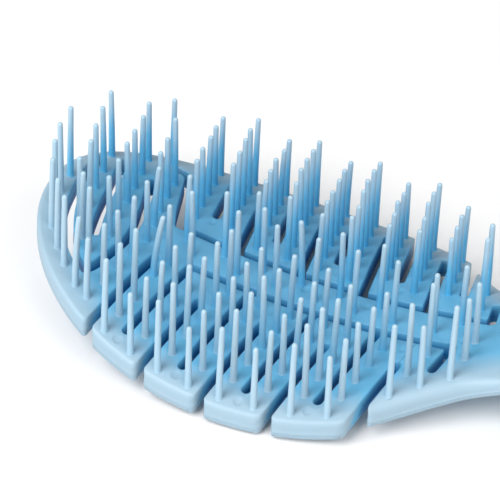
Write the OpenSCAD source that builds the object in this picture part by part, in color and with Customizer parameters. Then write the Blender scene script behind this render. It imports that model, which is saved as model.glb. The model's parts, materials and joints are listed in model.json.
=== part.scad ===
// Flexible vented grooming brush, lying on its back with the bristles up.
// +X runs from the tip of the head to the end of the handle, +Z is the way the bristles point.
// The head is a thin saddle-shaped plate. Slots cut it into a central spine, a tip rim with a
// tongue, and four flexing fingers on each side, joined one to the next by short living hinges.

/* [Head] */
// Length from the tip to the point where the head would close again on the handle side
head_len = 103; // [90:1:120]
// Full width of the head across its middle
head_w = 69.4; // [55:0.2:80]
// Thickness of the head plate
plate_t = 4.3; // [3:0.1:6]
// Radius of the arch across the head
arch_r = 120; // [80:1:200]
// Radius of the lengthwise sweep that lifts the tip and the neck
sweep_r = 190; // [150:1:400]

/* [Slots] */
// Width of the slots between and inside the fingers
slot_w = 1.8; // [1.2:0.1:2.6]
// Width of the two long slots beside the spine
long_w = 1.8; // [1.2:0.1:2.4]
// Distance from the centre line of the brush to the middle of a long slot
long_y = 4.95; // [4:0.05:6.5]
// Distance along the head from one finger to the next
pitch = 13.7; // [12:0.1:15]
// How far a finger leans towards the tip for each millimetre outwards
lean = 0.2; // [0:0.01:0.3]
// The same lean for the fingers on the far side
far_lean = 0.14; // [0:0.01:0.3]
// How blunt the outline of the tip is (2 is an ellipse)
blunt = 2.15; // [2:0.05:3]
// Running gap across a living hinge
hinge_gap = 0.4; // [0.3:0.05:0.8]
// Running gap where the last finger and the spine meet the neck
end_gap = 0.6; // [0.4:0.05:1]

/* [Bristles] */
// Height of the long bristles above the plate
long_h = 18; // [14:0.1:24]
// Height of the bristles along the tip rim
rim_h = 17.2; // [14:0.1:24]
// Height of the short bristles above the plate
short_h = 15; // [11:0.1:20]
// Height of the bristles on the spine and the tongue's outer row
mid_h = 16.3; // [12:0.1:22]
// Bristle diameter at the plate
pin_d = 1.5; // [1.1:0.05:2]
// Bristle diameter at the rounded tip
tip_d = 1.0; // [0.7:0.05:1.4]
// Distance from one bristle to the next along a finger
pin_pitch = 4.83; // [4.4:0.01:6]

/* [Handle] */
// Length of the grip behind the neck
grip_len = 125; // [90:1:150]
// Grip width at its widest
grip_w = 28; // [22:0.5:36]
// Grip thickness at its thickest
grip_t = 11; // [8:0.5:15]
// Diameter of the hanging hole
hang_d = 7; // [4:0.5:10]

/* [Hidden] */
col = [0.55, 0.75, 0.88];
$fn = 24;

// The head is drawn in its own frame: x = 0 near its middle, y = 0 on the spine, z = 0 at the
// lowest point of the plate's top surface. The whole brush is then moved so that the origin is
// at the bottom centre of its bounding box.
xs = 8;                            // lowest point of the lengthwise sweep
ecx = -6;                          // centre of the head outline
ea = head_len/2 + 0.5;             // half lengths of the outline towards the handle and the tip
et = head_len - ea;
eb = head_w/2;
tip_x = ecx - et;
neck_x = 48;                       // where the plate meets the grip
end_x = neck_x + grip_len;
org_x = (tip_x + end_x)/2;
lift = 9.99;
Rc = sweep_r + arch_r;

function rtop(y) = Rc - sqrt(arch_r*arch_r - y*y);
function ztop(x, y) = sweep_r - sqrt(rtop(y)*rtop(y) - (x - xs)*(x - xs));
function half_w(x) = x < ecx ? eb*pow(max(0, 1 - pow((ecx - x)/et, blunt)), 1/blunt)
  : eb*sqrt(max(0, 1 - pow((x - ecx)/ea, 2)));

// slot stations on the spine line: open slots reach the edge, blind slots branch off a long slot
function near_open(k) = k == 3 ? 27.3 : -15.35 + pitch*k;     // k = -1..3
function near_blind(k) = k == 3 ? 34.2 : -8.5 + pitch*k;      // k = -1..3
function far_open(k) = -9.9 + pitch*k;                        // k = -1..3
function far_blind(k) = -16.2 + pitch*k;                      // k = 0..4
open_in = 12;                      // inner end of an open slot
hinge_y = 9;                       // line of the living hinges
inner_y = long_y + long_w/2;       // inner edge of a finger

// ---- plan shapes; w is the distance outwards from the spine line ----
function tilt(s) = s > 0 ? far_lean : lean;
module band(xa, xb, w0, w1, t = lean) polygon([[xa - t*w0, w0], [xb - t*w0, w0],
  [xb - t*w1, w1], [xa - t*w1, w1]]);
module leg_slot(x0, w0, w1, t = lean) {
  r = slot_w/2*sqrt(1 + t*t);
  band(x0 - r, x0 + r, w0, w1, t);
  translate([x0 - t*w0, w0]) circle(r = slot_w/2);
  translate([x0 - t*w1, w1]) circle(r = slot_w/2);
}
module stroke(pts, w) {
  for (i = [0:len(pts) - 2]) {
    d = pts[i + 1] - pts[i];
    translate(pts[i]) rotate(atan2(d[1], d[0])) translate([0, -w/2]) square([norm(d), w]);
  }
  for (p = pts) translate(p) circle(r = w/2);
}
function sgn_pow(v, p) = v < 0 ? -pow(-v, p) : pow(v, p);
module head_outline() polygon([for (i = [0:119]) let(a = 3*i)
  a <= 90 || a >= 270 ? [ecx + ea*cos(a), eb*sin(a)]
    : [ecx + et*sgn_pow(cos(a), 2/blunt), eb*sgn_pow(sin(a), 2/blunt)]]);
module side(s) { if (s > 0) children(); else mirror([0, 1, 0]) children(); }

// curved slots in the tip
outer_slot = [[-51.6, 13.2], [-52.1, 8], [-51.8, 2.5], [-50.5, -4.2], [-48.5, -9.5], [-46.4, -13.2],
  [-43.8, -16], [-40.9, -17.9]];
inner_slot = [[-40.4, 14.2], [-39.4, 9], [-38.1, 3.6], [-37.4, -2], [-37.4, -6.5], [-38.4, -11.3], [-39.7, -15.8],
  [-40.9, -17.9]];
middle_slot = [[-47.8, 15.6], [-47.3, 12], [-46.4, 7.2], [-45.5, 1.4], [-44.4, -4.1], [-43.4, -8]];
hook_slot = [[-30.3, long_y], [-31.9, 9], [-33.2, 13.5], [-34.6, 18.5], [-35.9, 21.8], [-38.4, 22.6]];
tongue_y = 12.3;

module all_slots() {
  for (p = [outer_slot, inner_slot, middle_slot, hook_slot]) stroke(p, slot_w);
  // long slots beside the spine
  stroke([[near_blind(-1) - lean*long_y, -long_y], [near_blind(3) - lean*long_y, -long_y]], long_w);
  stroke([[-30.3, long_y], [far_blind(4) - far_lean*long_y, long_y]], long_w);
  side(-1) {
    for (k = [-1:3]) leg_slot(near_open(k), open_in + slot_w/2 - (k == -1 ? 6 : 0), 60);
    for (k = [-1:3]) leg_slot(near_blind(k), long_y, near_blind_end(k));
  }
  side(1) {
    for (k = [-1:3]) leg_slot(far_open(k), open_in + slot_w/2, 60, far_lean);
    for (k = [0:4]) leg_slot(far_blind(k), long_y, far_blind_end(k), far_lean);
  }
}
function near_blind_end(k) = k == 3 ? 12.2 : half_w(near_blind(k) - 5) - 5.6;
function far_blind_end(k) = k == 4 ? 10.5 : half_w(far_blind(k) - 5) - 5.6;

// regions
module tongue_zone() polygon(concat([for (p = outer_slot) p],
  [for (i = [len(inner_slot) - 2:-1:0]) inner_slot[i]]));
module spine_zone() polygon([[-39.4, hinge_y], [-31.9, hinge_y], [-30.3, long_y], [24 - end_gap/2, long_y],
  [24 - end_gap/2, -long_y], [near_blind(-1) - lean*long_y, -long_y],
  [near_blind(-1) - lean*8.8, -8.8], [near_open(-1) - lean*8.8, -8.8],
  [near_open(-1) - lean*12, -12], [-38.6, -12], [-38.4, -11.3], [-37.4, -6.5], [-37.4, -2], [-38.1, 3.6]]);
module tip_zone() {
  side(-1) band(-90, near_open(-1), 0, 60);
  side(1) band(-90, far_open(-1) - hinge_gap/2, 0, 60, far_lean);
}
module shell() {
  translate([xs, 0, sweep_r]) rotate([-90, 0, 0]) rotate([0, 0, 90 - 22])
    rotate_extrude(angle = 44, $fn = 180)
      translate([Rc, 0]) intersection() {
        difference() { circle(r = arch_r, $fn = 180); circle(r = arch_r - plate_t, $fn = 180); }
        translate([-arch_r - 1, -40]) square([arch_r/2, 80]);
      }
}
module plate() intersection() {
  shell();
  translate([0, 0, -25]) linear_extrude(60) children();
}
module place() translate([-org_x, 0, lift]) children();

// ---- fingers ----
module finger_plan(s, xa, xb, ga, gb) intersection() {
  head_outline();
  side(s) band(xa + ga/2, xb - gb/2, inner_y, 60, tilt(s));
}
module near_finger(k) color(col) place() plate() difference() {
  finger_plan(-1, near_open(k - 2), near_open(k - 1), hinge_gap, k == 4 ? end_gap : hinge_gap);
  all_slots();
  if (k == 1) side(-1) band(near_open(-1) - 2, near_blind(-1), 0, hinge_y + hinge_gap/2);
}
module far_finger(k) color(col) place() plate() difference() {
  finger_plan(1, far_open(k - 2), far_open(k - 1), hinge_gap, k == 4 ? end_gap : hinge_gap);
  all_slots();
}

// ---- bristles ----
module pin(x, y, h) translate([x, y, ztop(x, y) - 0.8]) {
  cylinder(h = h + 0.8 - tip_d/2, r1 = pin_d/2, r2 = tip_d/2);
  translate([0, 0, h + 0.8 - tip_d/2]) sphere(r = tip_d/2);
}
// one row along a finger: bristles counted inwards from the edge, a little shorter near the spine
module row(s, x0, h, w_in = 7.2) {
  t = tilt(s);
  w1 = half_w(x0 - t*30) - 2;
  n = floor((w1 - w_in)/pin_pitch);
  for (i = [0:n]) let(w = w1 - i*pin_pitch)
    pin(x0 - t*w, s*w, h > mid_h && w < 17.5 ? mid_h : h);
}
module near_long(k) color(col) place() {
  row(-1, k == 4 ? 15.9 : near_blind(k - 2) - pitch/4, long_h, k == 1 ? 17 : 7.2);
  if (k == 1) pin(-28.7, -11.4, short_h);
}
module near_short(k) color(col) place() row(-1, near_blind(k - 2) + pitch/4 + 0.2, short_h);
module far_long(k) color(col) place() row(1, far_blind(k - 1) - 3.85, long_h);
module far_short(k) color(col) place() row(1, far_blind(k - 1) + 3.1, short_h);

// ---- one module for each sub-part ----
module near_1() near_finger(1);
module near_2() near_finger(2);
module near_3() near_finger(3);
module near_4() near_finger(4);
module far_1() far_finger(1);
module far_2() far_finger(2);
module far_3() far_finger(3);
module far_4() far_finger(4);

module head_tip() difference() {
  intersection() { head_outline(); tip_zone(); }
  all_slots();
}
module spine() color(col) place() plate() difference() {
  spine_zone();
  all_slots();
}
module tongue() color(col) place() plate() difference() {
  intersection() { tongue_zone(); translate([-60, -30]) square([40, 30 + tongue_y - hinge_gap/2]); }
  all_slots();
}
module tip_rim() color(col) place() plate() difference() {
  head_tip();
  spine_zone();
  intersection() { tongue_zone(); translate([-60, -30]) square([40, 30 + tongue_y + hinge_gap/2]); }
}
module spine_pins() color(col) place()
  for (k = [-3:3]) {
    if (k > -3) pin(-6 + 8.5*k - (k < -1 ? 1.5 : 0), -1.8, mid_h);
    if (k < 3) pin(-1.75 + 8.5*k, 1.9, mid_h);
  }
module tip_pins_long() color(col) place()
  for (p = [[-54.2, 2.8], [-53.6, -2.9], [-52.4, -8], [-50.9, -12.5], [-47.7, -16.4], [-44.8, -19.3], [-40.9, -22.4],
    [-40.2, 23.4], [-36.8, 16.9], [-50.7, 15.4]]) pin(p[0], p[1], rim_h);
module tip_pins_short() color(col) place() {
  for (p = [[-44.6, 20.6], [-43.5, 15], [-36.2, 11.7], [-35.4, 6.4], [-34.5, 1.4], [-33.8, -3.6], [-34.5, -9],
    [-35.3, -13.9], [-36.3, -18.9], [-37.7, -23.7], [-27.3, -7]]) pin(p[0], p[1], short_h);
  row(1, far_blind(-1) + 2.5, short_h);
}
module tongue_pins_mid() color(col) place()
  for (p = [[-49.7, 9.3], [-48.7, 3.4], [-47.4, -2.1], [-46.9, -7.8], [-44.9, -10.9], [-42.2, -13.4]]) pin(p[0], p[1], mid_h);
module tongue_pins_short() color(col) place()
  for (p = [[-42.6, 9.5], [-41.8, 4.2], [-41.3, -1.3], [-40.6, -7.1]]) pin(p[0], p[1], short_h);

module near_1_pins_long() near_long(1);
module near_1_pins_short() near_short(1);
module near_2_pins_long() near_long(2);
module near_2_pins_short() near_short(2);
module near_3_pins_long() near_long(3);
module near_3_pins_short() near_short(3);
module near_4_pins_long() near_long(4);
module near_4_pins_short() near_short(4);
module far_1_pins_long() far_long(1);
module far_1_pins_short() far_short(1);
module far_2_pins_long() far_long(2);
module far_2_pins_short() far_short(2);
module far_3_pins_long() far_long(3);
module far_3_pins_short() far_short(3);
module far_4_pins_long() far_long(4);
module far_4_pins_short() far_short(4);

// neck plate: carries the last rows of bristles and widens into two shoulders
module neck_plan() polygon([[24 + end_gap/2, 0], [24 + end_gap/2, -long_y],
  [22, -inner_y], [18, -26.8], [21.9, -27.2], [23.3, -26], [26, -23.8], [30.6, -20.2], [35.7, -16.6], [41, -13.9], [neck_x, -12.3],
  [neck_x, 12.3], [43, 13.9], [38.2, 16.6], [33.4, 20.2], [29.6, 23.8], [27.4, 26], [24, 26.8], [30, inner_y],
  [24 + end_gap/2, long_y]]);
module neck() color(col) place() plate() difference() {
  neck_plan();
  all_slots();
  side(-1) band(-20, near_open(3) + end_gap/2, long_y, 60);
  side(1) band(-20, far_open(3) + end_gap/2, long_y, 60, far_lean);
}
module neck_pins_long() color(col) place() {
  for (p = [[29.4, -8.5], [27.6, -14.9], [26.2, -21.1], [35.9, -13.6], [34.4, 8.6], [33.6, 14.6]]) pin(p[0], p[1], long_h);
}
module neck_pins_short() color(col) place() {
  for (p = [[31.0, -17.0], [36.8, -7.6], [28, -1.6], [32.4, 2.4], [32.2, 18.9], [38.4, 12.6], [37, -2.2]]) pin(p[0], p[1], short_h);
}

// grip: a flat bar swelling in plan and in thickness, with a hole to hang it by
function grip_half(u) = let(a = 12.3, b = 10.6, c = grip_w/2)
  u < 0.2 ? a + (b - a)*(1 - cos(180*u/0.2))/2 : b + (c - b)*(1 - cos(180*min(1, (u - 0.2)/0.5)))/2;
function grip_mid(u) = 2.11 + 1.6*sin(180*min(1, u/0.5)) - 6.59*(1 - cos(180*min(1, u/0.86)))/2;
function grip_th(u) = plate_t + 0.02 + (grip_t - plate_t)*(1 - cos(180*min(1, u/0.45)))/2;
module grip_plan() {
  r = grip_w/2;
  polygon(concat(
    [for (i = [0:30]) [neck_x + (grip_len - r)*i/30, -grip_half(i/30*(grip_len - r)/grip_len)]],
    [for (i = [30:-1:0]) [neck_x + (grip_len - r)*i/30, grip_half(i/30*(grip_len - r)/grip_len)]]));
  translate([end_x - r, 0]) circle(r = r, $fn = 72);
}
module handle() color(col) place() difference() {
  intersection() {
    translate([0, 0, -30]) linear_extrude(60) grip_plan();
    rotate([90, 0, 0]) translate([0, 0, -30]) linear_extrude(60) polygon(concat(
      [for (i = [0:40]) [neck_x + grip_len*i/40, grip_mid(i/40) - grip_th(i/40)/2]],
      [for (i = [40:-1:0]) [neck_x + grip_len*i/40, grip_mid(i/40) + grip_th(i/40)/2]]));
  }
  translate([end_x - grip_w/2 + 1, 0, -30]) cylinder(r = hang_d/2, h = 60, $fn = 48);
}

handle();
neck();
neck_pins_long();
neck_pins_short();
spine();
spine_pins();
tip_rim();
tip_pins_long();
tip_pins_short();
tongue();
tongue_pins_mid();
tongue_pins_short();
near_1();
near_1_pins_long();
near_1_pins_short();
near_2();
near_2_pins_long();
near_2_pins_short();
near_3();
near_3_pins_long();
near_3_pins_short();
near_4();
near_4_pins_long();
near_4_pins_short();
far_1();
far_1_pins_long();
far_1_pins_short();
far_2();
far_2_pins_long();
far_2_pins_short();
far_3();
far_3_pins_long();
far_3_pins_short();
far_4();
far_4_pins_long();
far_4_pins_short();
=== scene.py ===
import json
import math

import bpy
import numpy as np
from mathutils import Matrix, Vector, geometry


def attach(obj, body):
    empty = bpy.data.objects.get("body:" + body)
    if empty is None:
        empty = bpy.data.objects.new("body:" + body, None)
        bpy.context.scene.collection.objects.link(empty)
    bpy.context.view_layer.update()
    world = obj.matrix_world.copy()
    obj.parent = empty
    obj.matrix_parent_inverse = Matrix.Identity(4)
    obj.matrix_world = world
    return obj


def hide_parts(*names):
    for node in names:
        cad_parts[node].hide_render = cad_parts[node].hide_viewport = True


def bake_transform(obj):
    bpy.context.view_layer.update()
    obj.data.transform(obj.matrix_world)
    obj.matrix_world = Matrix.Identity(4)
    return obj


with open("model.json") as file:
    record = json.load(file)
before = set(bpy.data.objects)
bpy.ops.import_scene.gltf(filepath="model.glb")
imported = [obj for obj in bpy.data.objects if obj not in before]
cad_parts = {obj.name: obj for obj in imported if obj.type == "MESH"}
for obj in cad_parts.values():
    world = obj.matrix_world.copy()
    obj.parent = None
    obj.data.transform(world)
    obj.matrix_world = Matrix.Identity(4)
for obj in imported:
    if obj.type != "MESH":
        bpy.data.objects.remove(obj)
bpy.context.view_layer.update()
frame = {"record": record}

bpy.context.scene.view_settings.view_transform = "Standard"

# ------------------------------------------------------------------ dimensions, mm, head frame
# x = 0 near the middle of the head, y = 0 on the spine, z = 0 at the lowest point of the top face
OX, LIFT = 58.0, 9.99
LEAN, FAR_LEAN, PITCH = 0.2, 0.14, 13.7
ECX, EA, ET, EB, BLUNT = -6.0, 52.0, 51.0, 34.7, 2.15
SWEEP, ARCH, XS = 190.0, 120.0, 8.0
PLATE = 4.3
LONG_Y = 4.95
NECK_X, GRIP_LEN, GRIP_W, GRIP_T, END_X = 48.0, 125.0, 28.0, 11.0, 173.0


def near_open(k):
    return 27.3 if k == 3 else -15.35 + PITCH * k


def near_blind(k):
    return 34.2 if k == 3 else -8.5 + PITCH * k


def far_open(k):
    return -9.9 + PITCH * k


def far_blind(k):
    return -16.2 + PITCH * k


def half_w(x):
    if x < ECX:
        return EB * max(0.0, 1 - ((ECX - x) / ET) ** BLUNT) ** (1 / BLUNT)
    return EB * math.sqrt(max(0.0, 1 - ((x - ECX) / EA) ** 2))


def tilt(s):
    return FAR_LEAN if s > 0 else LEAN


def smooth(a, b, x):
    t = np.clip((x - a) / (b - a), 0, 1)
    return t * t * (3 - 2 * t)


def grip_half(x):
    u = np.clip((x - NECK_X) / GRIP_LEN, 0, 1)
    a, b, c = 12.3, 10.6, GRIP_W / 2
    return np.where(u < 0.2, a + (b - a) * (1 - np.cos(np.pi * u / 0.2)) / 2,
                    b + (c - b) * (1 - np.cos(np.pi * np.clip((u - 0.2) / 0.5, 0, 1))) / 2)


def grip_mid(x):
    u = np.clip((x - NECK_X) / GRIP_LEN, 0, 1)
    return 2.11 + 1.6 * np.sin(np.pi * np.clip(u / 0.5, 0, 1)) - 6.59 * (1 - np.cos(np.pi * np.clip(u / 0.86, 0, 1))) / 2


def grip_th(x):
    u = np.clip((x - NECK_X) / GRIP_LEN, 0, 1)
    return PLATE + 0.02 + (GRIP_T - PLATE) * (1 - np.cos(np.pi * np.clip(u / 0.45, 0, 1))) / 2


def saddle(x, y, r):
    rt = SWEEP + ARCH - np.sqrt(r * r - np.clip(y, -60, 60) ** 2)
    return SWEEP - np.sqrt(rt * rt - (x - XS) ** 2)


def z_top(x, y):
    s = smooth(40.0, 58.0, x)
    plate = saddle(np.clip(x, -70, 62), y, ARCH)
    crown = 0.9 * (y / (GRIP_W / 2)) ** 2
    grip = grip_mid(x) + grip_th(x) / 2 - crown
    return plate * (1 - s) + grip * s


def z_bot(x, y):
    s = smooth(40.0, 58.0, x)
    plate = saddle(np.clip(x, -70, 62), y, ARCH - PLATE)
    # the neck thickens towards its shoulders
    thick = 0.8 * smooth(21, 27, x) * (1 - smooth(34, 56, x)) * smooth(7, 20, np.abs(y))
    crown = 0.7 * (y / (GRIP_W / 2)) ** 2
    grip = grip_mid(x) - grip_th(x) / 2 + crown
    return (plate - thick) * (1 - s) + grip * s


# ------------------------------------------------------------------ slots
OUTER = [(-51.6, 13.2), (-52.1, 8), (-51.8, 2.5), (-50.5, -4.2), (-48.5, -9.5), (-46.4, -13.2), (-43.8, -16),
         (-40.9, -17.9)]
INNER = [(-40.4, 14.2), (-39.4, 9), (-38.1, 3.6), (-37.4, -2), (-37.4, -6.5), (-38.4, -11.3), (-39.7, -15.8),
         (-40.9, -17.9)]
MIDDLE = [(-47.8, 15.6), (-47.3, 12), (-46.4, 7.2), (-45.5, 1.4), (-44.4, -4.1), (-43.4, -8)]
HOOK = [(-30.3, LONG_Y), (-31.9, 9), (-33.2, 13.5), (-34.6, 18.5), (-35.9, 21.8), (-38.4, 22.6)]
TONGUE_Y = 12.3


def refine(pts, n=6):
    """Catmull-Rom through the points."""
    p = [np.array(q, float) for q in pts]
    p = [2 * p[0] - p[1]] + p + [2 * p[-1] - p[-2]]
    out = []
    for i in range(1, len(p) - 2):
        for j in range(n):
            t = j / n
            out.append(0.5 * (2 * p[i] + (p[i + 1] - p[i - 1]) * t
                              + (2 * p[i - 1] - 5 * p[i] + 4 * p[i + 1] - p[i + 2]) * t * t
                              + (3 * p[i] - p[i - 1] - 3 * p[i + 1] + p[i + 2]) * t ** 3))
    out.append(p[-2])
    return np.array(out)


def leg(x0, s, w0, w1):
    return np.array([(x0 - tilt(s) * w0, s * w0), (x0 - tilt(s) * w1, s * w1)])


def blind_end(x0, side, k):
    if side < 0:
        return 12.2 if k == 3 else half_w(x0 - 5) - 5.6
    return 10.5 if k == 4 else half_w(x0 - 5) - 5.6


BLIND, OPEN = [], []
BLIND += [(refine(q), 0.9) for q in (OUTER, INNER, MIDDLE, HOOK)]
BLIND += [(np.array([(near_blind(-1) - LEAN * LONG_Y, -LONG_Y), (near_blind(3) - LEAN * LONG_Y, -LONG_Y)]), 0.9),
          (np.array([(-30.3, LONG_Y), (far_blind(4) - FAR_LEAN * LONG_Y, LONG_Y)]), 0.9)]
for _k in range(-1, 4):
    OPEN.append((leg(near_open(_k), -1, 7.0 if _k == -1 else 13.0, 60), 0.9))
    BLIND.append((leg(near_blind(_k), -1, LONG_Y, blind_end(near_blind(_k), -1, _k)), 0.9))
    OPEN.append((leg(far_open(_k), 1, 13.0, 60), 0.9))
for _k in range(0, 5):
    BLIND.append((leg(far_blind(_k), 1, LONG_Y, blind_end(far_blind(_k), 1, _k)), 0.9))


def seg_dist(x, y, pts):
    best = np.full(x.shape, 1e9)
    for (ax, ay), (bx, by) in zip(pts[:-1], pts[1:]):
        dx, dy = bx - ax, by - ay
        t = np.clip(((x - ax) * dx + (y - ay) * dy) / (dx * dx + dy * dy), 0, 1)
        best = np.minimum(best, np.hypot(x - ax - t * dx, y - ay - t * dy))
    return best


def d_strokes(x, y, strokes, box=None):
    best = np.full(x.shape, 1e9)
    lo = np.array([x.min(), y.min()]) - 4
    hi = np.array([x.max(), y.max()]) + 4
    for pts, r in strokes:
        if (pts.max(0) < lo).any() or (pts.min(0) > hi).any():
            continue
        best = np.minimum(best, seg_dist(x, y, pts) - r)
    return best


def inside(x, y, poly):
    poly = np.asarray(poly, float)
    c = np.zeros(x.shape, bool)
    j = len(poly) - 1
    for i in range(len(poly)):
        xi, yi = poly[i]
        xj, yj = poly[j]
        if yi != yj:
            hit = ((yi > y) != (yj > y)) & (x < (xj - xi) * (y - yi) / (yj - yi) + xi)
            c ^= hit
        j = i
    return c


def d_ellipse(x, y):
    a = np.where(x < ECX, ET, EA)
    p = np.where(x < ECX, BLUNT, 2.0)
    gx, gy = np.abs(x - ECX) / a + 1e-9, np.abs(y) / EB + 1e-9
    q = gx ** p + gy ** p
    rho = q ** (1 / p)
    g = rho / q * np.hypot(gx ** (p - 1) / a, gy ** (p - 1) / EB)
    return np.clip((1 - rho) / (g + 1e-9), -30, 18)


_near = [(13, -29.5), (18.5, -28.6), (21.3, -27.7), (23.3, -26.2), (26, -23.9), (30.6, -20.3), (35.7, -16.7),
         (41, -13.9), (NECK_X, -12.3)]
_far = [(NECK_X, 12.3), (43.0, 13.9), (38.2, 16.7), (33.4, 20.2), (29.6, 23.8), (27.2, 26.2), (24, 28.4), (18, 30.5)]
_gx = np.concatenate([np.linspace(NECK_X, END_X - 14, 56)[1:]])
_arc = [(END_X - 14 + 14 * math.cos(t), 14 * math.sin(t)) for t in np.linspace(-math.pi / 2, math.pi / 2, 33)[1:-1]]
NECK_POLY = np.array(list(refine(_near, 4)) + [(a, -float(grip_half(a))) for a in _gx] + _arc
                     + [(a, float(grip_half(a))) for a in _gx[::-1]] + list(refine(_far, 4)))


def d_neck(x, y):
    closed = np.vstack([NECK_POLY, NECK_POLY[:1]])
    d = seg_dist(x, y, closed)
    d = np.where(inside(x, y, NECK_POLY), d, -d)
    hole = np.hypot(x - (END_X - 13), y) - 3.5
    return d, hole


def smin(a, b, k):
    h = np.clip(k - np.abs(a - b), 0, None) / k
    return np.minimum(a, b) - h * h * k / 4


class Head:
    """Fields of the slotted head: distance in from the outline, and from the slots."""
    edge_r, slot_r, edge_rb, slot_rb, corner = 0.95, 0.28, 0.6, 0.2, 1.7

    def parts(self, x, y):
        out = d_ellipse(x, y)
        op = d_strokes(x, y, OPEN)
        bl = d_strokes(x, y, BLIND)
        return out, op, bl

    def f(self, x, y):
        out, op, bl = self.parts(x, y)
        return np.minimum(smin(out, op, self.corner), bl)

    def drop(self, x, y, top=True):
        out, op, bl = self.parts(x, y)
        re, rs = (self.edge_r, self.slot_r) if top else (self.edge_rb, self.slot_rb)
        return fillet(out, re) + fillet(np.minimum(op, bl), rs)

    def levels(self):
        return [("out", self.edge_r * u) for u in (0.12, 0.36, 0.66, 1.0)] + [("slot", self.slot_r * u) for u in (0.34, 1.0)]

    def field(self, name, x, y):
        out, op, bl = self.parts(x, y)
        return out if name == "out" else np.minimum(op, bl)


class Neck(Head):
    """The neck plate and the grip: the edge radius grows along it."""
    def er(self, x):
        return 1.0 + 1.2 * smooth(20, 26, x) - 0.5 * smooth(36, 48, x) * (1 - smooth(48, 80, x)) \
            + 3.0 * smooth(50, 100, x)

    def erb(self, x):
        return 0.8 + 0.6 * smooth(30, 48, x) + 3.2 * smooth(50, 100, x)

    def parts(self, x, y):
        d, hole = d_neck(x, y)
        op = d_strokes(x, y, OPEN)
        bl = d_strokes(x, y, BLIND)
        return d, op, bl, hole

    def f(self, x, y):
        d, op, bl, hole = self.parts(x, y)
        return np.minimum(np.minimum(smin(d, op, 2.0), bl), hole)

    def drop(self, x, y, top=True):
        d, op, bl, hole = self.parts(x, y)
        re = self.er(x) if top else self.erb(x)
        rs = self.slot_r if top else self.slot_rb
        return fillet(d, re) + fillet(np.minimum(op, bl), rs) + fillet(hole, 1.2)

    def levels(self):
        return [("out", u) for u in (0.04, 0.13, 0.28, 0.48, 0.74, 1.0)] + [("slot", self.slot_r * u) for u in (0.34, 1.0)] \
            + [("hole", 1.2 * u) for u in (0.12, 0.4, 1.0)]

    def field(self, name, x, y):
        d, op, bl, hole = self.parts(x, y)
        if name == "out":
            return d / self.er(x)
        return hole if name == "hole" else np.minimum(op, bl)


def fillet(d, r):
    q = np.clip(1 - d / r, 0, 1)
    return r * (1 - np.sqrt(1 - q * q))


# ------------------------------------------------------------------ contours
def contours(F, xs, ys, level):
    """Marching squares. Returns closed or open lists of points."""
    V = F - level
    ny, nx = V.shape
    pos = V > 0
    code = pos[:-1, :-1] * 1 + pos[:-1, 1:] * 2 + pos[1:, 1:] * 4 + pos[1:, :-1] * 8
    jj, ii = np.nonzero((code > 0) & (code < 15))
    pts, links = {}, {}

    def pt(kind, j, i):
        key = (kind, j, i)
        if key not in pts:
            if kind == 0:
                a, b = V[j, i], V[j, i + 1]
                t = a / (a - b)
                pts[key] = (xs[i] + t * (xs[i + 1] - xs[i]), ys[j])
            else:
                a, b = V[j, i], V[j + 1, i]
                t = a / (a - b)
                pts[key] = (xs[i], ys[j] + t * (ys[j + 1] - ys[j]))
        return key
    table = {1: [(3, 0)], 2: [(0, 1)], 3: [(3, 1)], 4: [(1, 2)], 5: [(3, 2), (1, 0)], 6: [(0, 2)], 7: [(3, 2)],
             8: [(2, 3)], 9: [(2, 0)], 10: [(0, 3), (2, 1)], 11: [(2, 1)], 12: [(1, 3)], 13: [(1, 0)], 14: [(0, 3)]}
    for j, i in zip(jj.tolist(), ii.tolist()):
        e = [(0, j, i), (1, j, i + 1), (0, j + 1, i), (1, j, i)]
        for a, b in table[int(code[j, i])]:
            ka, kb = pt(*e[a]), pt(*e[b])
            links.setdefault(ka, []).append(kb)
            links.setdefault(kb, []).append(ka)
    seen, out = set(), []
    starts = [k for k, v in links.items() if len(v) == 1] + list(links)
    for s in starts:
        if s in seen:
            continue
        chain, cur = [s], s
        seen.add(s)
        while True:
            nxt = [k for k in links[cur] if k not in seen]
            if not nxt:
                break
            cur = nxt[0]
            seen.add(cur)
            chain.append(cur)
        closed = len(chain) > 3 and s in links[cur]
        out.append((np.array([pts[k] for k in chain]), closed))
    return out


def resample(p, closed, step):
    q = np.vstack([p, p[:1]]) if closed else p
    s = np.concatenate([[0], np.cumsum(np.hypot(*np.diff(q, axis=0).T))])
    n = max(4 if closed else 2, int(round(s[-1] / step)))
    t = np.linspace(0, s[-1], n + 1)
    if closed:
        t = t[:-1]
    return np.stack([np.interp(t, s, q[:, 0]), np.interp(t, s, q[:, 1])], 1)


def snap(fn, p, level):
    """Newton steps onto fn = level."""
    e = 1e-3
    for _ in range(3):
        x, y = p[:, 0], p[:, 1]
        v = fn(x, y) - level
        gx = (fn(x + e, y) - fn(x - e, y)) / (2 * e)
        gy = (fn(x, y + e) - fn(x, y - e)) / (2 * e)
        g2 = np.maximum(gx * gx + gy * gy, 0.25)
        m = np.clip(v / g2, -0.2, 0.2)
        p = np.stack([x - m * gx, y - m * gy], 1)
    return p


# ------------------------------------------------------------------ meshes
DISHES = [(12.5, 1.2), (-25.5, 10.4), (-31.6, 2.2), (-17.1, -8.6), (-3.3, -8.7), (10.9, -8.2), (-28.2, -29.3),
          (-46.0, 20.4), (-45.0, -12.2), (17.0, 9.2), (3.3, 9.2), (-11.1, 9.0), (34.8, -2.6), (24.2, -8.4), (-0.4, 0.9),
          (-14.6, -31.4), (-0.9, -32.0), (12.6, -29.4), (-22.3, 31.6), (-8.6, 32.4), (5.1, 32.0), (18.0, 28.4)]


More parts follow.
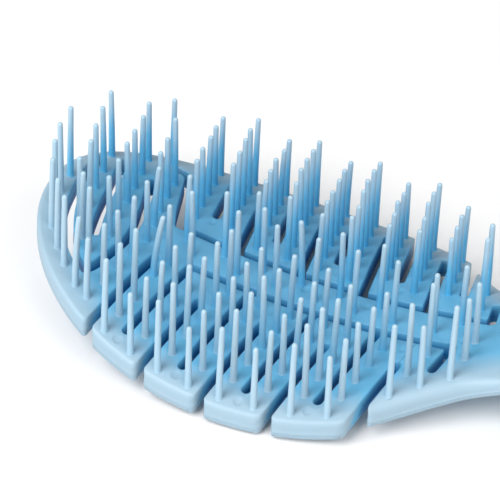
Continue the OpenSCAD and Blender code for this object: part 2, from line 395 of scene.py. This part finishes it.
def plate(name, shape, zone, holes=(), h=0.25, step=0.34, grid=1.5, dishes=True, clear_cut=True):
    """A closed plate: the shape's fields inside the zone polygon, with rounded edges and a parting line."""
    zone = np.asarray(zone, float)
    lo, hi = zone.min(0), zone.max(0)
    lo, hi = np.maximum(lo, (-59.5, -36.5)), np.minimum(hi, (174, 36.5))
    xs = np.arange(lo[0] - 1, hi[0] + 1, h)
    ys = np.arange(lo[1] - 1, hi[1] + 1, h)
    X, Y = np.meshgrid(xs, ys)
    verts, edges = [], []

    def poly(p, closed):
        if len(p) < 2:
            return
        n0 = len(verts)
        verts.extend(map(tuple, p))
        edges.extend((n0 + i, n0 + i + 1) for i in range(len(p) - 1))
        if closed:
            edges.append((n0 + len(p) - 1, n0))

    def near_zone(p):
        return inside(p[:, 0], p[:, 1], zone)

    f0 = lambda x, y: shape.f(x, y)
    F = f0(X, Y)
    for p, c in contours(F, xs, ys, 0.0):
        p = snap(f0, resample(p, c, step), 0.0)
        poly(p, c)
    fields = {}
    for nm, lev in shape.levels():
        if nm not in fields:
            fields[nm] = shape.field(nm, X, Y)
        G = fields[nm]
        fn = lambda x, y, nm=nm: shape.field(nm, x, y)
        for p, c in contours(G, xs, ys, lev):
            p = snap(fn, resample(p, c, step if nm != "out" else step * 1.3), lev)
            # keep only what lies well inside the plate
            keep = shape.f(p[:, 0], p[:, 1]) > 0.03
            run = []
            for q, k in zip(p, keep):
                if k:
                    run.append(q)
                else:
                    poly(np.array(run), False) if len(run) > 1 else None
                    run = []
            if run:
                if c and keep.all():
                    poly(np.array(run), True)
                elif len(run) > 1:
                    poly(np.array(run), False)
    # cut lines
    for Z in [zone] + [np.asarray(q, float) for q in holes]:
        closed = np.vstack([Z, Z[:1]])
        for a, b in zip(closed[:-1], closed[1:]):
            n = max(1, int(np.hypot(*(b - a)) / 0.6))
            p = a + (b - a) * np.linspace(0, 1, n + 1)[:, None]
            poly(p, False)
    if dishes:
        for cx, cy in DISHES:
            if inside(np.array([cx]), np.array([cy]), zone)[0] and lo[0] < cx < hi[0]:
                for r in (0.86, 1.04, 1.2):
                    t = np.linspace(0, 2 * np.pi, 24, endpoint=False)
                    poly(np.stack([cx + r * np.cos(t), cy + r * np.sin(t)], 1), True)
    gx = np.arange(lo[0], hi[0], grid)
    gy = np.arange(lo[1], hi[1], grid * 0.9)
    GX, GY = np.meshgrid(gx, gy)
    GX = GX + (np.arange(len(gy)) % 2)[:, None] * grid / 2
    P = np.stack([GX.ravel(), GY.ravel()], 1)
    ok = (shape.f(P[:, 0], P[:, 1]) > 0.55) & near_zone(P)
    for q in holes:
        ok &= ~inside(P[:, 0], P[:, 1], q)
    verts.extend(map(tuple, P[ok]))
    res = geometry.delaunay_2d_cdt([Vector(v) for v in verts], edges, [], 0, 1e-5)
    V = np.array([(v[0], v[1]) for v in res[0]])
    T = np.array([list(t) for t in res[2]])
    C = V[T].mean(1)
    keep = (shape.f(C[:, 0], C[:, 1]) > 0) & near_zone(C)
    for q in holes:
        keep &= ~inside(C[:, 0], C[:, 1], q)
    T = T[keep]
    a, b, c = V[T[:, 0]], V[T[:, 1]], V[T[:, 2]]
    area = (b[:, 0] - a[:, 0]) * (c[:, 1] - a[:, 1]) - (b[:, 1] - a[:, 1]) * (c[:, 0] - a[:, 0])
    T[area < 0] = T[area < 0][:, ::-1]
    T = T[np.abs(area) > 1e-7]
    used = np.unique(T)
    remap = -np.ones(len(V), int)
    remap[used] = np.arange(len(used))
    V, T = V[used], remap[T]
    n = len(V)
    x, y = V[:, 0], V[:, 1]
    f = shape.f(x, y)
    zt = z_top(x, y) - shape.drop(x, y, True)
    zb = z_bot(x, y) + shape.drop(x, y, False)
    mid = (z_top(x, y) + z_bot(x, y)) / 2
    zt, zb = np.maximum(zt, mid + 0.15), np.minimum(zb, mid - 0.15)
    if dishes:
        for cx, cy in DISHES:
            r = np.hypot(x - cx, y - cy)
            zt = zt - 0.13 * (1 - smooth(0.84, 1.06, r)) + 0.05 * np.exp(-((r - 1.12) / 0.1) ** 2)
    # boundary half-edges
    he = {}
    for t in T:
        for i in range(3):
            he[(int(t[i]), int(t[(i + 1) % 3]))] = 1
    border = [e for e in he if (e[1], e[0]) not in he]
    e = 1e-3
    gx = (shape.f(x + e, y) - shape.f(x - e, y)) / (2 * e)
    gy = (shape.f(x, y + e) - shape.f(x, y - e)) / (2 * e)
    gl = np.maximum(np.hypot(gx, gy), 1e-6)
    nx, ny = -gx / gl, -gy / gl
    wall = np.abs(f) < 0.02
    rings = [(0.0, 0.0), (0.30, 0.0), (0.66, 0.0), (0.70, 0.055), (0.74, 0.0), (1.0, 0.0)]
    bv = sorted({i for ed in border for i in ed})
    co = [np.stack([x, y, zt], 1), np.stack([x, y, zb], 1)]
    base = 2 * n
    idx = {}
    ring_pts = []
    for q, (t, out) in enumerate(rings):
        for i in bv:
            if q == 0:
                idx[(q, i)] = i
            elif q == len(rings) - 1:
                idx[(q, i)] = n + i
            else:
                o = out if wall[i] else 0.0
                # moulding draft: a hair wider at the parting line
                ring_pts.append((x[i] + nx[i] * o, y[i] + ny[i] * o, zt[i] * (1 - t) + zb[i] * t))
                idx[(q, i)] = base + len(ring_pts) - 1
    if ring_pts:
        co.append(np.array(ring_pts))
    co = np.vstack(co)
    faces = [tuple(t) for t in T.tolist()] + [tuple((n + t[::-1]).tolist()) for t in T]
    for i, j in border:
        for q in range(len(rings) - 1):
            faces.append((idx[(q, j)], idx[(q, i)], idx[(q + 1, i)], idx[(q + 1, j)]))
    # painted shade: how far down a slot each point lies, 0 on the outer faces; deeper blue down the slots and on the
    # inner top faces away from the rim
    ax, ay = co[:, 0], co[:, 1]
    zt_, zb_ = z_top(ax, ay), z_bot(ax, ay)
    shade_depth = np.clip((zt_ - co[:, 2]) / np.maximum(zt_ - zb_, 0.1), 0, 1)
    slot = np.minimum(d_strokes(ax, ay, OPEN), d_strokes(ax, ay, BLIND))
    rim_ = d_ellipse(ax, ay) if name != "neck_and_grip" else d_neck(ax, ay)[0]
    # painted shade on the inner top faces: strongest far from the rim, weaker towards the handle
    face_shade = 0.40 * smooth(0.4, 12.0, rim_) * (1 - 0.72 * smooth(34, 66, ax))
    # painted shade down the slot walls, growing with depth below the top face
    wall_shade = smooth(0.8, 7.5, rim_) * (1 - smooth(0.05, 0.5, slot)) * (0.15 + 0.85 * smooth(0.02, 0.75, shade_depth))
    deep_shade = face_shade + (1 - face_shade) * wall_shade
    me = bpy.data.meshes.new(name)
    co = (co + (-OX, 0, LIFT)) / 1000
    me.from_pydata(co.tolist(), [], faces)
    at_ = me.attributes.new("shade_depth", "FLOAT", "POINT")
    at_.data.foreach_set("value", deep_shade.astype(np.float32))
    me.shade_smooth()
    me.set_sharp_from_angle(angle=math.radians(62))
    me.update()
    ob = bpy.data.objects.new(name, me)
    bpy.context.scene.collection.objects.link(ob)
    return ob


def S(s, pts):
    # points given as (station on the spine line, distance outwards)
    return [(x0 - tilt(s) * w, s * w) for x0, w in pts]


def at(x0, w):
    return (x0, w)


def finger_zone(s, xa, xb, ca, cb):
    z = [at(xa + ca, LONG_Y), at(xa + ca, 12.6), at(xa, 13.4), at(xa, 45), at(xb, 45), at(xb, 13.4), at(xb - cb, 12.6),
         at(xb - cb, LONG_Y)]
    return S(s, z)


HEAD, NECK = Head(), Neck()
CUT = 0.5
built = {}

# near side
for k in range(1, 5):
    if k == 1:
        xa, xb, xc = near_open(-1), near_open(0), near_blind(-1)
        zone = S(-1, [at(xc, LONG_Y), at(xc, 9.5), at(xa, 9.5), at(xa, 45), at(xb, 45), at(xb, 13.4), at(xb - CUT, 12.6),
                      at(xb - CUT, LONG_Y)])
    else:
        zone = finger_zone(-1, near_open(k - 2), near_open(k - 1), CUT, 0.04 if k == 4 else CUT)
    built["near_%d" % k] = plate("finger_near_%d" % k, HEAD, zone)
    built["far_%d" % k] = plate("finger_far_%d" % k, HEAD,
                                finger_zone(1, far_open(k - 2), far_open(k - 1), CUT, 0.04 if k == 4 else CUT))


def web_zone(s, x0):
    return S(s, [at(x0 - CUT, LONG_Y), at(x0 + CUT, LONG_Y), at(x0 + CUT, 12.6), at(x0 - CUT, 12.6)])


webs = []
webs.append((plate("web_near_1", HEAD, S(-1, [at(near_open(-1), 8.5), at(near_blind(-1), 8.5), at(near_blind(-1), 9.5),
                                              at(near_open(-1), 9.5)]), grid=1.0),
             "spine", "near_1", (-26.1, -8.5), (-26.1, -9.5)))
for k in range(2, 5):
    x0 = near_open(k - 2)
    webs.append((plate("web_near_%d" % k, HEAD, web_zone(-1, x0), grid=1.0), "near_%d" % (k - 1), "near_%d" % k,
                 (x0 - CUT - 1.8, -9.0), (x0 + CUT - 1.8, -9.0)))
for k in range(1, 5):
    x0 = far_open(k - 2)
    webs.append((plate("web_far_%d" % k, HEAD, web_zone(1, x0), grid=1.0), "spine" if k == 1 else "far_%d" % (k - 1),
                 "far_%d" % k, (x0 - CUT - 1.26, 9.0), (x0 + CUT - 1.26, 9.0)))
webs.append((plate("web_spine", HEAD, [(24 - CUT, -LONG_Y), (24 + CUT, -LONG_Y), (24 + CUT, LONG_Y), (24 - CUT, LONG_Y)],
                   grid=1.0), "spine", "handle", (24 - CUT, 0), (24 + CUT, 0)))

# tongue, cut free by the two curved slots, and its root
def cross(line, y):
    # where a curved slot's centre line passes height y, walking in from its start
    for i in range(len(line) - 1):
        (xa, ya), (xb, yb) = line[i], line[i + 1]
        if (ya - y) * (yb - y) <= 0 and ya != yb:
            return i + 1, (xa + (xb - xa) * (y - ya) / (yb - ya), y)


def tongue_poly(y):
    o, i = refine(OUTER), refine(INNER)
    a, pa = cross(o, y)
    b, pb = cross(i, y)
    return [pa] + [tuple(q) for q in o[a:]] + [tuple(q) for q in i[b:-1][::-1]] + [pb]


tongue_zone = tongue_poly(TONGUE_Y - CUT)
tongue_hole = tongue_poly(TONGUE_Y + CUT)
_, A0 = cross(refine(OUTER), TONGUE_Y - CUT)
_, A1 = cross(refine(OUTER), TONGUE_Y + CUT)
_, B0 = cross(refine(INNER), TONGUE_Y - CUT)
_, B1 = cross(refine(INNER), TONGUE_Y + CUT)
built["tongue"] = plate("tongue_plate", HEAD, tongue_zone)
webs.append((plate("web_tongue", HEAD, [A0, B0, B1, A1], grid=1.0), "tongue", "spine",
             ((A0[0] + B0[0]) / 2, TONGUE_Y - CUT), ((A0[0] + B0[0]) / 2, TONGUE_Y + CUT)))

# spine, hub and tip rim in one piece
xo, xb_, fo = near_open(-1), near_blind(-1), far_open(-1)
head_zone = [(24 - CUT, -LONG_Y), (24 - CUT, LONG_Y)] + S(1, [at(fo - CUT, LONG_Y), at(fo - CUT, 12.6), at(fo, 13.4),
                                                             at(fo, 45)]) \
    + [(-62, 45), (-62, -45)] + S(-1, [at(xo, 45), at(xo, 8.5), at(xb_, 8.5), at(xb_, LONG_Y)])
built["spine"] = plate("spine_and_rim", HEAD, head_zone, holes=[tongue_hole])

# neck and grip in one piece
no, fo = near_open(3), far_open(3)
neck_zone = S(-1, [at(no, 45), at(no, 13.4), at(no + 0.04, 12.6), at(no + 0.04, LONG_Y)]) + [(24 + CUT, -LONG_Y),
             (24 + CUT, LONG_Y)] + S(1, [at(fo + 0.04, LONG_Y), at(fo + 0.04, 12.6), at(fo, 13.4), at(fo, 45)]) \
    + [(176, 45), (176, -45)]
built["handle"] = plate("neck_and_grip", NECK, neck_zone, h=0.4, step=0.5, grid=2.0)


# ------------------------------------------------------------------ bristles
LONG, SHORT, MID = 18.0, 15.0, 16.3


def row(s, x0, h, w_in=7.2):
    w1 = half_w(x0 - tilt(s) * 30) - 2
    n = int(math.floor((w1 - w_in) / 4.83))
    ws = [w1 - i * 4.83 for i in range(n + 1)]
    return [(x0 - tilt(s) * w, s * w, MID if h > MID and w < 17.5 else h) for w in ws]


def at_h(pts, h):
    return [(a, b, h) for a, b in pts]


RIM = 17.2
sets = {}
for k in range(1, 5):
    sets["near_%d_pins_long" % k] = row(-1, 15.9 if k == 4 else near_blind(k - 2) - PITCH / 4, LONG, 17 if k == 1 else 7.2)
    sets["near_%d_pins_short" % k] = row(-1, near_blind(k - 2) + PITCH / 4 + 0.2, SHORT)
    sets["far_%d_pins_long" % k] = row(1, far_blind(k - 1) - 3.85, LONG - 0.9)
    sets["far_%d_pins_short" % k] = row(1, far_blind(k - 1) + 3.1, SHORT - 0.6)
sets["near_1_pins_long"].append((-28.7, -11.4, SHORT))
sets["spine_pins"] = [(-6 + 8.5 * k - (1.5 if k < -1 else 0), -1.8, MID) for k in range(-2, 4)] \
    + [(-1.75 + 8.5 * k, 1.9, MID) for k in range(-3, 3)]
sets["tip_pins_long"] = at_h([(-54.2, 2.8), (-53.6, -2.9), (-52.4, -8), (-50.9, -12.5), (-47.7, -16.4), (-44.8, -19.3),
                              (-40.9, -22.4), (-40.2, 23.4), (-36.8, 16.9)], RIM) + [(-50.7, 15.4, MID)]
sets["tip_pins_short"] = at_h([(-44.6, 20.6), (-43.5, 15), (-36.2, 11.7), (-35.4, 6.4), (-34.5, 1.4), (-33.8, -3.6),
                               (-34.5, -9), (-35.3, -13.9), (-36.3, -18.9), (-37.7, -23.7), (-27.3, -7)], SHORT) \
    + row(1, far_blind(-1) + 2.5, SHORT)
sets["tongue_pins_mid"] = at_h([(-49.7, 9.3), (-48.7, 3.4), (-47.4, -2.1), (-46.9, -7.8), (-44.9, -10.9), (-42.2, -13.4)], MID)
sets["tongue_pins_short"] = at_h([(-42.6, 9.5), (-41.8, 4.2), (-41.3, -1.3), (-40.6, -7.1)], SHORT)
sets["neck_pins_long"] = at_h([(29.4, -8.5), (27.6, -14.9), (26.2, -21.1), (35.9, -13.6), (34.4, 8.6), (33.6, 14.6)], LONG)
sets["neck_pins_short"] = at_h([(31.0, -17.0), (36.8, -7.6), (28, -1.6), (32.4, 2.4), (32.2, 18.9), (38.4, 12.6),
                                (37, -2.2)], SHORT)


def body_of(node):
    for b, ns in frame["record"]["behaviour"]["bodies"].items():
        if node in ns:
            return b


def rnd(*a):
    v = math.sin(sum(q * w for q, w in zip(a, (12.9898, 78.233, 37.719)))) * 43758.5453
    return v - math.floor(v)


# bristles that were bent in use: how far the tip has moved
BENT = {(-28.7, -11.4): (1.65, 0.65), (-34.5, 1.4): (0.84, 0.33), (-40.9, -22.4): (0.77, 0.30), (-1.75, 1.9): (-0.70, -0.25),
        (-50.9, -12.5): (0.3, 0.1)}


def pins(name, items):
    seg = 18
    co, faces, shade = [], [], []
    for x, y, h in items:
        z0 = float(z_top(np.array(x), np.array(y)))
        e = 0.5
        sx = float(z_top(np.array(x + e), np.array(y)) - z_top(np.array(x - e), np.array(y))) / (2 * e)
        sy = float(z_top(np.array(x), np.array(y + e)) - z_top(np.array(x), np.array(y - e))) / (2 * e)
        r0, r1 = 0.74, 0.55
        prof = [(r0 + 0.16, -0.25, 1), (r0 + 0.10, 0.02, 1), (r0 + 0.03, 0.12, 1), (r0, 0.30, 0.6)]
        for t in (0.08, 0.18, 0.30, 0.45, 0.60, 0.75, 0.88):
            prof.append((r0 + (r1 - r0) * t ** 0.9, h * t, 0))
        top = h - r1
        prof.append((r1, top, 0))
        for a in (22, 42, 60, 76):
            prof.append((r1 * math.cos(math.radians(a)), top + r1 * math.sin(math.radians(a)), 0))
        # each bristle leans and bends by a hair
        la, lm = rnd(x, y, 1) * 6.283, 0.10 + 0.28 * rnd(y, x, 3)
        bx, by = BENT.get((x, y), (lm * math.cos(la), lm * math.sin(la)))
        rd = float(d_ellipse(np.array([x]), np.array([y]))[0])
        # painted shade at the bristle feet: deeper blue towards the base, none at the tip, strong on the far side, weak
        # near the near rim
        foot_shade = (0.04 + 0.36 * float(smooth(5.0, 24.0, rd))) if y < 0 else 0.40 + 0.25 * float(smooth(0, 14, y))
        n0 = len(co)
        for r, z, w in prof:
            u = max(0.0, z / h)
            ox, oy = bx * u ** 1.6, by * u ** 1.6
            for i in range(seg):
                t = 2 * math.pi * i / seg
                px, py = r * math.cos(t), r * math.sin(t)
                co.append((x + ox + px, y + oy + py, z0 + z + w * (sx * px + sy * py)))
                shade.append(foot_shade * (1 - min(1.0, u / 0.85)) ** 1.1)
        ox, oy = bx, by
        co.append((x + ox, y + oy, z0 + h))
        co.append((x, y, z0 - 0.25))
        shade += [0.0, foot_shade]
        for q in range(len(prof) - 1):
            for i in range(seg):
                j = (i + 1) % seg
                faces.append((n0 + q * seg + i, n0 + q * seg + j, n0 + (q + 1) * seg + j, n0 + (q + 1) * seg + i))
        last = n0 + (len(prof) - 1) * seg
        tip, foot = n0 + len(prof) * seg, n0 + len(prof) * seg + 1
        for i in range(seg):
            j = (i + 1) % seg
            faces.append((last + i, last + j, tip))
            faces.append((n0 + j, n0 + i, foot))
    co = (np.array(co) + (-OX, 0, LIFT)) / 1000
    me = bpy.data.meshes.new(name)
    me.from_pydata(co.tolist(), [], faces)
    at_ = me.attributes.new("shade_depth", "FLOAT", "POINT")
    at_.data.foreach_set("value", np.array(shade, np.float32))
    me.shade_smooth()
    me.update()
    ob = bpy.data.objects.new(name, me)
    bpy.context.scene.collection.objects.link(ob)
    return ob


bristles = {}
for node, items in sets.items():
    bristles[node] = pins("bristles_" + node, items)


# ------------------------------------------------------------------ materials
def plastic(name, light, blue, deep_shade, rough, bump=0.1):
    """Translucent moulded plastic whose colour carries painted shade: pale where the shade attribute is 0, deeper blue
    down in the slots, on inner faces and at the bristle feet.
    """
    m = bpy.data.materials.new(name)
    m.use_nodes = True
    nt = m.node_tree
    b = nt.nodes["Principled BSDF"]
    b.inputs["IOR"].default_value = 1.49
    b.inputs["Specular IOR Level"].default_value = 0.40
    b.inputs["Subsurface Weight"].default_value = 0.10
    b.inputs["Subsurface Radius"].default_value = (0.5, 1.0, 1.4)
    b.inputs["Subsurface Scale"].default_value = 0.0008
    tc = nt.nodes.new("ShaderNodeTexCoord")

    def noise(scale, detail):
        n = nt.nodes.new("ShaderNodeTexNoise")
        n.inputs["Scale"].default_value = scale
        n.inputs["Detail"].default_value = detail
        nt.links.new(tc.outputs["Object"], n.inputs["Vector"])
        return n

    def span(src, a, b_, c, d):
        r = nt.nodes.new("ShaderNodeMapRange")
        for k_, v in zip((1, 2, 3, 4), (a, b_, c, d)):
            r.inputs[k_].default_value = v
        nt.links.new(src, r.inputs[0])
        return r.outputs[0]

    def mix(fac, a, b_):
        x = nt.nodes.new("ShaderNodeMix")
        x.data_type = "RGBA"
        for k_, v in ((6, a), (7, b_)):
            if isinstance(v, tuple):
                x.inputs[k_].default_value = (*v, 1)
            else:
                nt.links.new(v, x.inputs[k_])
        nt.links.new(fac, x.inputs[0])
        return x.outputs[2]

    cloud, grain = noise(55, 4), noise(2600, 3)
    shade_depth = nt.nodes.new("ShaderNodeAttribute")
    shade_depth.attribute_name = "shade_depth"
    add = nt.nodes.new("ShaderNodeMath")
    nt.links.new(shade_depth.outputs["Fac"], add.inputs[0])
    nt.links.new(span(cloud.outputs["Fac"], 0.3, 0.7, -0.025, 0.025), add.inputs[1])
    # painted shade: the shade attribute mixes the pale colour towards blue, then towards the deep shade colour
    col = mix(span(add.outputs[0], 0.0, 0.3, 0.0, 1.0), light, blue)
    col = mix(span(add.outputs[0], 0.4, 1.0, 0.0, 1.0), col, deep_shade)
    nt.links.new(col, b.inputs["Base Color"])
    nt.links.new(span(grain.outputs["Fac"], 0.35, 0.65, rough - 0.05, rough + 0.06), b.inputs["Roughness"])
    bp = nt.nodes.new("ShaderNodeBump")
    bp.inputs["Strength"].default_value = bump
    bp.inputs["Distance"].default_value = 0.00004
    nt.links.new(grain.outputs["Fac"], bp.inputs["Height"])
    nt.links.new(bp.outputs["Normal"], b.inputs["Normal"])
    return m


# per material: pale lit colour, blue half-shade colour, deep painted shade colour, roughness, bump
PLATE_MAT = plastic("moulded_blue", (0.285, 0.405, 0.490), (0.108, 0.370, 0.575), (0.000, 0.165, 0.430), 0.44, 0.25)
PIN_MAT = plastic("bristle_blue", (0.335, 0.475, 0.570), (0.115, 0.410, 0.635), (0.000, 0.280, 0.560), 0.40, 0.12)

body_nodes = {"handle": ("handle", "neck"), "spine": ("spine", "tip_rim"), "tongue": ("tongue",)}
for name, ob in built.items():
    ob.data.materials.append(PLATE_MAT)
    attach(ob, name)
    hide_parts(*body_nodes.get(name, (name,)))
for ob, a, b, p, q in webs:
    ob.data.materials.append(PLATE_MAT)
    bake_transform(ob)
for node, ob in bristles.items():
    ob.data.materials.append(PIN_MAT)
    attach(ob, body_of(node))
    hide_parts(node)

# ------------------------------------------------------------------ stage
me = bpy.data.meshes.new("floor")
R = 3.0
me.from_pydata([(-R, -R, 0), (R, -R, 0), (R, R, 0), (-R, R, 0)], [], [(0, 1, 2, 3)])
floor = bpy.data.objects.new("floor", me)
floor.location = (0, 0, -0.00005)
bpy.context.scene.collection.objects.link(floor)
fm = bpy.data.materials.new("paper_white")
fm.use_nodes = True
fb = fm.node_tree.nodes["Principled BSDF"]
fb.inputs["Base Color"].default_value = (0.79, 0.785, 0.785, 1)
fb.inputs["Roughness"].default_value = 0.9
fb.inputs["Specular IOR Level"].default_value = 0.1
floor.data.materials.append(fm)

world = bpy.context.scene.world or bpy.data.worlds.new("World")
bpy.context.scene.world = world
world.use_nodes = True
bg = world.node_tree.nodes.get("Background") or world.node_tree.nodes.new("ShaderNodeBackground")
bg.inputs[0].default_value = (1, 1, 1, 1)
bg.inputs[1].default_value = 0.37


def area(name, loc, target, size, power):
    ld = bpy.data.lights.new(name, "AREA")
    ld.shape = "DISK"
    ld.size = size
    ld.energy = power
    ob = bpy.data.objects.new(name, ld)
    ob.location = loc
    ob.rotation_euler = (Vector(target) - Vector(loc)).to_track_quat("-Z", "Y").to_euler()
    bpy.context.scene.collection.objects.link(ob)
    return ob


T = Vector(((-15.74 - OX) / 1000, 8.09 / 1000, LIFT / 1000))
e, az, roll = math.radians(38.08), math.radians(21.60), math.radians(2.59)
right = Vector((math.cos(az), math.sin(az), 0))
away = Vector((-math.sin(az), math.cos(az), 0))
up0 = Vector((0, 0, 1))
fwd = away * math.cos(e) - up0 * math.sin(e)
up = away * math.sin(e) + up0 * math.cos(e)
cx_ = right * math.cos(roll) + up * math.sin(roll)
cy_ = -right * math.sin(roll) + up * math.cos(roll)
cam_data = bpy.data.cameras.new("camera")
cam_data.sensor_width = 36
cam_data.lens = 2893.4 / 500 * 36
cam_data.clip_start, cam_data.clip_end = 0.01, 20
cam = bpy.data.objects.new("camera", cam_data)
rot = Matrix((cx_, cy_, -fwd)).transposed().to_4x4()
cam.matrix_world = Matrix.Translation(T - fwd * 0.59594) @ rot
bpy.context.scene.collection.objects.link(cam)
bpy.context.scene.camera = cam

key = T - right * 0.55 - away * 0.55 + Vector((0, 0, 0.75))
area("key", key, T, 0.9, 14.5)
fill = T + right * 0.5 - away * 0.7 + Vector((0, 0, 0.6))
area("fill", fill, T, 0.8, 5.0)
rim = T + away * 0.8 + Vector((0, 0, 0.9))
area("rim", rim, T, 1.0, 2.5)
